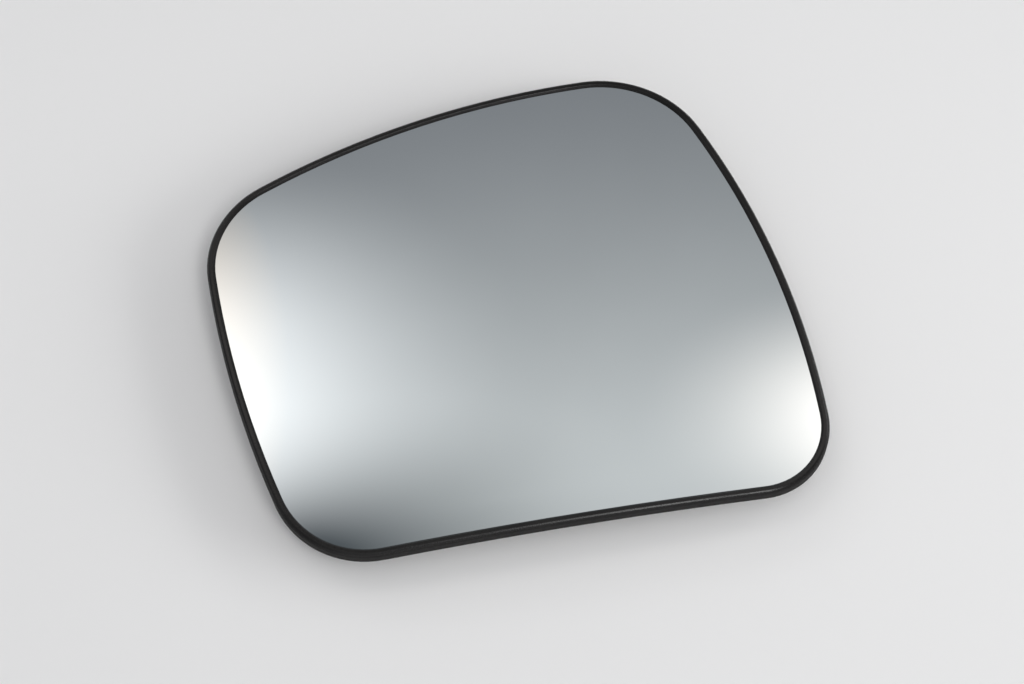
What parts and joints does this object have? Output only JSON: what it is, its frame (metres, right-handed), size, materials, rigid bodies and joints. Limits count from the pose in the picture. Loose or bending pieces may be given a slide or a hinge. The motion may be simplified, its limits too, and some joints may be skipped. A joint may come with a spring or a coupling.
{
  "type": "car door mirror glass",
  "caption": "Convex door mirror pane held in the thin black rim of a moulded backing plate, with a rear collar of spring claws that clips onto the mirror's tilt actuator.",
  "frame": {"origin": "on the axis of the rear collar, in the plane of the collar's end, on which the part rests", "axes": "+Z the way the mirror faces, +X along the bottom edge to the right as seen from the front, +Y up the mirror"},
  "size_m": [0.1998, 0.169, 0.0196],
  "materials": {
    "mirror": "polished silvered glass, slightly cool",
    "black_plastic": "fine moulded grain, satin",
    "adhesive_foam": "matt closed-cell foam"
  },
  "bodies": {
    "root": {"mirror_glass": "mirror", "backing_plate": "black_plastic", "adhesive_pad": "adhesive_foam"}
  },
  "joints": []
}
